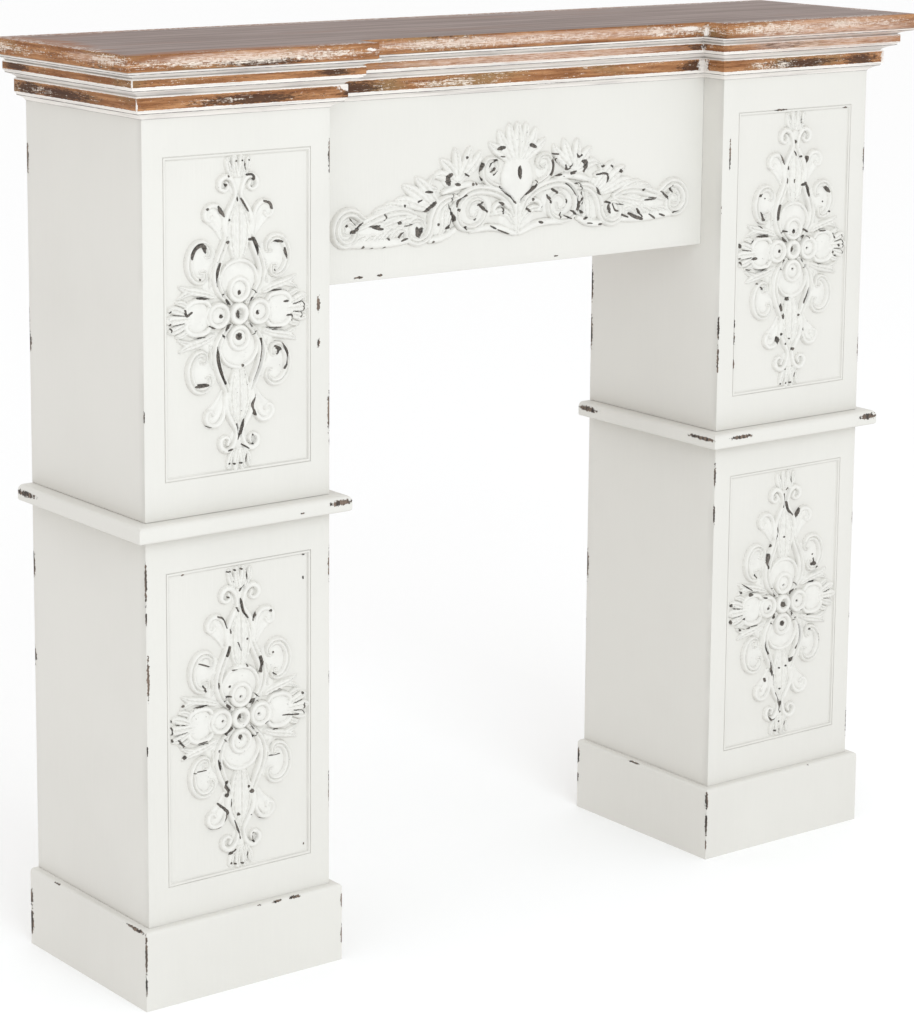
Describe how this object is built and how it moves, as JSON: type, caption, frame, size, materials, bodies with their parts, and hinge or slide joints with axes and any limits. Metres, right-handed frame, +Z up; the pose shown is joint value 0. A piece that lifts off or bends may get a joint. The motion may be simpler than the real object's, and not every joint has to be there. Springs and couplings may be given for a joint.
{
  "type": "fireplace mantelpiece",
  "caption": "White-painted fireplace surround with hollow panelled legs, carved scroll ornaments, a set-back frieze and a stepped, wood-stained cornice and shelf.",
  "frame": {"origin": "on the floor, under the middle of the bounding box", "axes": "+Z up, the front with the ornaments faces -Y, the wall side faces +Y, +X along the shelf"},
  "size_m": [1.134, 0.282, 1.04],
  "materials": {
    "painted_wood": "off-white chalky paint, rubbed through to grey-brown wood at edges",
    "painted_carving": "thick off-white paint over carved or moulded ornament, with small dark chips",
    "stained_wood": "brown stain with thin white wash"
  },
  "bodies": {
    "root": {"shelf_board": "stained_wood", "cornice_left_return": "stained_wood", "cornice_left_leg_front": "stained_wood", "cornice_left_inner_return": "stained_wood", "cornice_middle_front": "stained_wood", "cornice_right_inner_return": "stained_wood", "cornice_right_leg_front": "stained_wood", "cornice_right_return": "stained_wood", "frieze_board": "painted_wood", "frieze_ornament": "painted_carving", "left_upper_front_board": "painted_wood", "left_upper_outer_board": "painted_wood", "left_upper_inner_board": "painted_wood", "left_upper_back_board": "painted_wood", "left_upper_ornament": "painted_carving", "left_rail_board": "painted_wood", "left_lower_front_board": "painted_wood", "left_lower_outer_board": "painted_wood", "left_lower_inner_board": "painted_wood", "left_lower_back_board": "painted_wood", "left_lower_ornament": "painted_carving", "left_plinth_front_board": "painted_wood", "left_plinth_outer_board": "painted_wood", "left_plinth_inner_board": "painted_wood", "right_upper_front_board": "painted_wood", "right_upper_outer_board": "painted_wood", "right_upper_inner_board": "painted_wood", "right_upper_back_board": "painted_wood", "right_upper_ornament": "painted_carving", "right_rail_board": "painted_wood", "right_lower_front_board": "painted_wood", "right_lower_outer_board": "painted_wood", "right_lower_inner_board": "painted_wood", "right_lower_back_board": "painted_wood", "right_lower_ornament": "painted_carving", "right_plinth_front_board": "painted_wood", "right_plinth_outer_board": "painted_wood", "right_plinth_inner_board": "painted_wood"}
  },
  "joints": []
}
